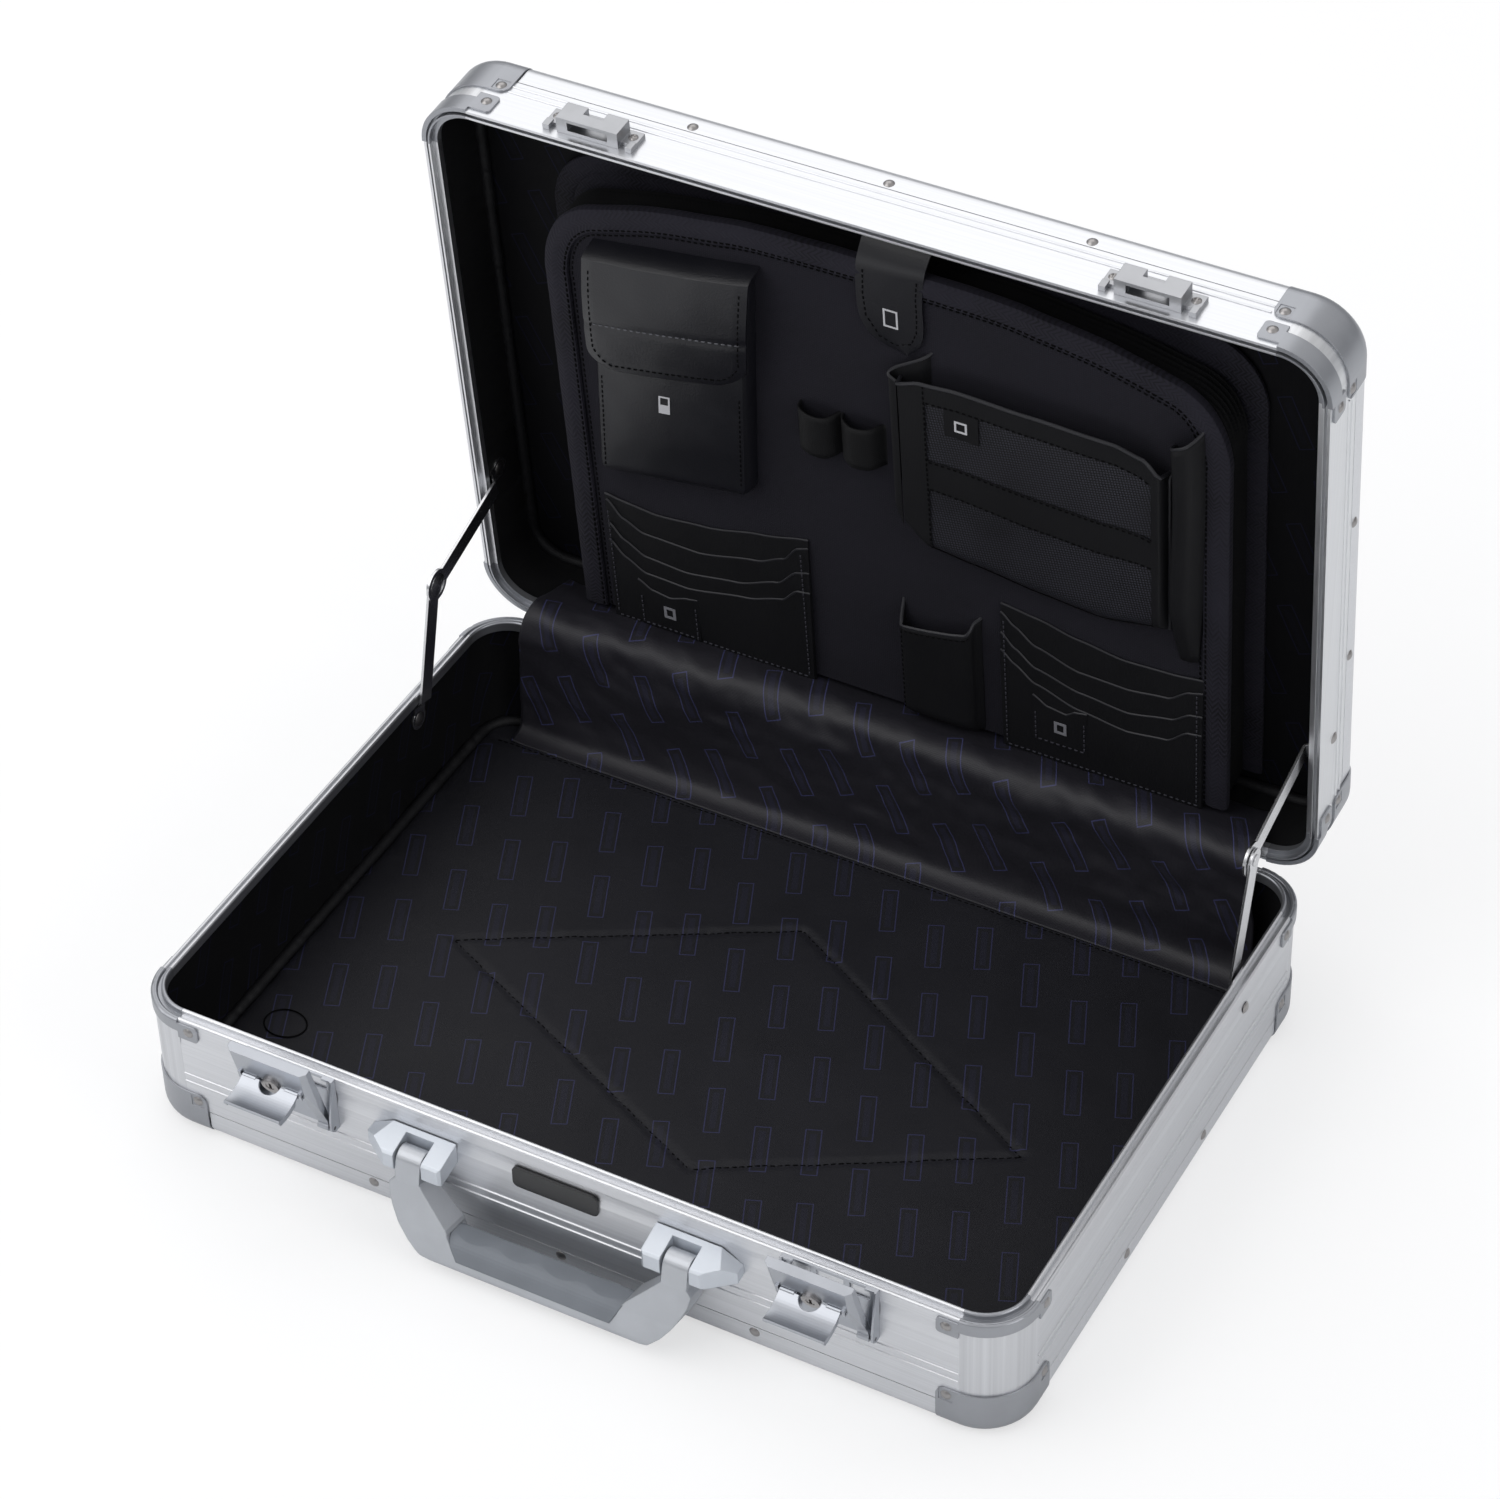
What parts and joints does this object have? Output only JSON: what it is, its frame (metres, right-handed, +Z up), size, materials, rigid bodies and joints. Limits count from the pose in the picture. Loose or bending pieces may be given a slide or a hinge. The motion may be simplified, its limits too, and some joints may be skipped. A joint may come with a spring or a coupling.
{
  "type": "laptop hard case",
  "caption": "Aluminium attache style laptop case, held open by folding stays, with hook latches, swinging handle and lid organiser.",
  "frame": {"origin": "centre of the base's footprint on the surface it rests on", "axes": "+X to the right seen from the handle side, +Y towards the hinge, +Z up"},
  "size_m": [0.4644, 0.4081, 0.4085],
  "materials": {
    "wall": "satin anodised extrusion",
    "edging": "satin anodised extrusion",
    "band": "brushed sheet",
    "corner_grey": "smooth grey enamel",
    "panel": "fine grained sheet",
    "rivet": "bright",
    "latch": "satin chrome",
    "striker": "silver plated die casting",
    "handle": "silver grey metallic",
    "grip": "matte soft grip",
    "bracket": "polished die casting",
    "steel": "plain strip",
    "hinge": "rolled",
    "name_plate": "gloss black",
    "lining": "dark woven lining",
    "organiser": "padded dark cloth",
    "mesh": "open mesh"
  },
  "bodies": {
    "base": {"base_front_wall": "wall", "base_back_wall": "wall", "base_side_walls": "wall", "base_edging": "edging", "base_bottom_panel": "panel", "base_corner_bands": "band", "base_rim_clips": "corner_grey", "base_corner_protectors": "corner_grey", "base_rivets": "rivet", "base_side_lining": "lining", "base_floor_pad": "lining", "name_plate": "name_plate", "handle_bracket_left": "bracket", "handle_bracket_right": "bracket", "handle_pins": "steel", "latch_plate_left": "latch", "latch_plate_right": "latch", "latch_pivot_pins": "steel", "hinge_leaf_base": "hinge", "hinge_pin": "hinge", "hinge_curtain": "lining"},
    "lid": {"lid_front_wall": "wall", "lid_back_wall": "wall", "lid_side_walls": "wall", "lid_edging": "edging", "lid_top_panel": "panel", "lid_corner_bands": "band", "lid_rim_clips": "corner_grey", "lid_corner_protectors": "corner_grey", "lid_rivets": "rivet", "lid_side_lining": "lining", "lid_top_lining": "lining", "strikers": "striker", "striker_screws": "steel", "hinge_leaf_lid": "hinge", "organiser_board": "organiser", "organiser_folder": "organiser", "closing_strap": "organiser", "phone_pouch": "organiser", "card_pockets": "organiser", "mesh_pocket": "mesh", "narrow_pocket": "organiser", "pen_loops": "organiser"},
    "handle": {"handle_frame": "handle", "handle_grip": "grip"},
    "cover_left": {"latch_cover_left": "latch", "lever_pins_left": "steel"},
    "lever_left": {"latch_lever_left": "latch"},
    "lock_left": {"lock_cylinder_left": "latch"},
    "stay_lower_left": {"stay_lower_left": "steel", "stay_elbow_rivet_left": "steel"},
    "stay_upper_left": {"stay_upper_left": "steel"},
    "cover_right": {"latch_cover_right": "latch", "lever_pins_right": "steel"},
    "lever_right": {"latch_lever_right": "latch"},
    "lock_right": {"lock_cylinder_right": "latch"},
    "stay_lower_right": {"stay_lower_right": "steel", "stay_elbow_rivet_right": "steel"},
    "stay_upper_right": {"stay_upper_right": "steel"}
  },
  "joints": [
    {"name": "lid_hinge", "type": "hinge", "parent": "base", "child": "lid", "pos_m": [0, 0.1651, 0.072], "axis": [-1, 0, 0], "range_deg": [-85, 0], "deforming": ["hinge_curtain"]},
    {"name": "handle_swing", "type": "hinge", "parent": "base", "child": "handle", "pos_m": [0, -0.1719, 0.0515], "axis": [-1, 0, 0], "range_deg": [0, 75]},
    {"name": "latch_left", "type": "hinge", "parent": "base", "child": "cover_left", "pos_m": [-0.141, -0.1665, 0.0446], "axis": [1, 0, 0], "range_deg": [-11.5, 0]},
    {"name": "lever_left", "type": "hinge", "parent": "cover_left", "child": "lever_left", "pos_m": [-0.141, -0.17915, 0.07366], "axis": [-1, 0, 0], "range_deg": [-74, 0]},
    {"name": "lock_left", "type": "hinge", "parent": "cover_left", "child": "lock_left", "pos_m": [-0.141, -0.17954, 0.07358], "axis": [0, -0.9799, -0.1994], "range_deg": [-90, 0]},
    {"name": "stay_lower_left", "type": "hinge", "parent": "base", "child": "stay_lower_left", "pos_m": [-0.2245, 0.0856, 0.058], "axis": [-1, 0, 0], "range_deg": [-93.5, 0]},
    {"name": "stay_upper_left", "type": "hinge", "parent": "lid", "child": "stay_upper_left", "pos_m": [-0.2245, 0.17584, 0.15575], "axis": [-1, 0, 0], "range_deg": [0, 93.5]},
    {"name": "latch_right", "type": "hinge", "parent": "base", "child": "cover_right", "pos_m": [0.141, -0.1665, 0.0446], "axis": [1, 0, 0], "range_deg": [-15.5, 0]},
    {"name": "lever_right", "type": "hinge", "parent": "cover_right", "child": "lever_right", "pos_m": [0.141, -0.18114, 0.07271], "axis": [-1, 0, 0], "range_deg": [-74, 0]},
    {"name": "lock_right", "type": "hinge", "parent": "cover_right", "child": "lock_right", "pos_m": [0.141, -0.18153, 0.0726], "axis": [0, -0.9636, -0.2672], "range_deg": [-90, 0]},
    {"name": "stay_lower_right", "type": "hinge", "parent": "base", "child": "stay_lower_right", "pos_m": [0.2245, 0.0856, 0.058], "axis": [-1, 0, 0], "range_deg": [-93.5, 0]},
    {"name": "stay_upper_right", "type": "hinge", "parent": "lid", "child": "stay_upper_right", "pos_m": [0.2245, 0.17584, 0.15575], "axis": [-1, 0, 0], "range_deg": [0, 93.5]}
  ],
  "couplings": [
    {"joint": "lever_left", "follows": "latch_left", "ratio": 6.4348},
    {"joint": "stay_lower_left", "follows": "lid_hinge", "ratio": 1.0867},
    {"joint": "stay_upper_left", "follows": "lid_hinge", "ratio": -1.0642},
    {"joint": "lever_right", "follows": "latch_right", "ratio": 4.7742},
    {"joint": "stay_lower_right", "follows": "lid_hinge", "ratio": 1.0867},
    {"joint": "stay_upper_right", "follows": "lid_hinge", "ratio": -1.0642}
  ]
}
